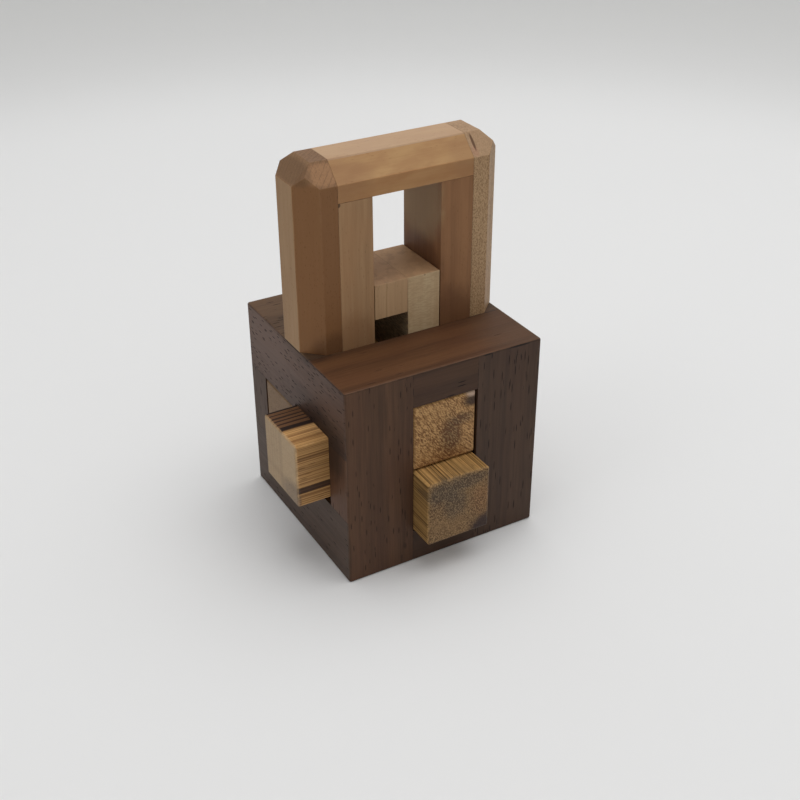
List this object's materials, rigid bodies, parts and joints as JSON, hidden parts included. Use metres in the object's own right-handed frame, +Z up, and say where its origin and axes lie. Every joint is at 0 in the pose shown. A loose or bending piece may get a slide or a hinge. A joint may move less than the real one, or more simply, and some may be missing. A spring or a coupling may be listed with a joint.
{
  "type": "wooden puzzle box",
  "caption": "Cubic wooden burr puzzle box with a padlock-shaped shackle, sliding sticks through windows in its sides and a lifting key under the shackle.",
  "frame": {"origin": "centre of the flat underside of the box", "axes": "+Z up towards the shackle; -Y the side with the two stacked sticks; -X the side with the two sticks side by side"},
  "size_m": [0.0663, 0.0648, 0.1062],
  "materials": {
    "dark_wood": "satin oiled dark hardwood with open pores",
    "grey_brown_wood": "satin oiled grey-brown hardwood with open pores",
    "red_brown_wood": "satin oiled reddish brown hardwood",
    "brown_wood": "satin sanded mid-brown hardwood",
    "tan_wood": "satin sanded tan hardwood",
    "golden_wood": "satin sanded striped golden hardwood",
    "pale_wood": "satin sanded pale hardwood"
  },
  "bodies": {
    "box": {"front_left_stile": "dark_wood", "front_right_stile": "dark_wood", "front_top_rail": "dark_wood", "front_bottom_rail": "dark_wood", "left_front_stile": "grey_brown_wood", "left_back_stile": "grey_brown_wood", "left_top_rail": "grey_brown_wood", "left_bottom_rail": "grey_brown_wood", "back_left_stile": "dark_wood", "back_right_stile": "dark_wood", "back_top_rail": "dark_wood", "back_bottom_rail": "dark_wood", "right_front_stile": "grey_brown_wood", "right_back_stile": "grey_brown_wood", "right_top_rail": "grey_brown_wood", "right_bottom_rail": "grey_brown_wood", "top_front_board": "red_brown_wood", "top_back_board": "red_brown_wood", "top_left_block": "red_brown_wood", "top_right_block": "red_brown_wood", "bottom_front_board": "dark_wood", "bottom_back_board": "dark_wood"},
    "shackle": {"shackle_beam": "tan_wood", "shackle_left_outer_leg": "brown_wood", "shackle_left_inner_leg": "brown_wood", "shackle_right_outer_leg": "tan_wood", "shackle_right_inner_leg": "red_brown_wood", "shackle_hook": "brown_wood"},
    "left_front_stick": {"left_front_stick": "golden_wood"},
    "left_back_stick": {"left_back_stick": "pale_wood"},
    "front_upper_stick": {"front_upper_stick": "pale_wood"},
    "front_lower_stick": {"front_lower_stick": "golden_wood"},
    "key": {"key_post": "pale_wood", "key_cap": "tan_wood", "key_foot": "tan_wood"}
  },
  "joints": [
    {"name": "shackle_lift", "type": "slide", "parent": "box", "child": "shackle", "axis": [0, 0, 1], "range_m": [0, 0.00953]},
    {"name": "left_front_stick_slide", "type": "slide", "parent": "box", "child": "left_front_stick", "axis": [1, 0, 0], "range_m": [-0.00038, 0.00915]},
    {"name": "left_back_stick_slide", "type": "slide", "parent": "box", "child": "left_back_stick", "axis": [1, 0, 0], "range_m": [-0.00953, 0]},
    {"name": "front_upper_stick_slide", "type": "slide", "parent": "box", "child": "front_upper_stick", "axis": [0, 1, 0], "range_m": [0, 0.00953]},
    {"name": "front_lower_stick_slide", "type": "slide", "parent": "box", "child": "front_lower_stick", "axis": [0, 1, 0], "range_m": [-0.00193, 0.0076]},
    {"name": "key_lift", "type": "slide", "parent": "box", "child": "key", "axis": [0, 0, 1], "range_m": [-0.00635, 0.00317]}
  ]
}
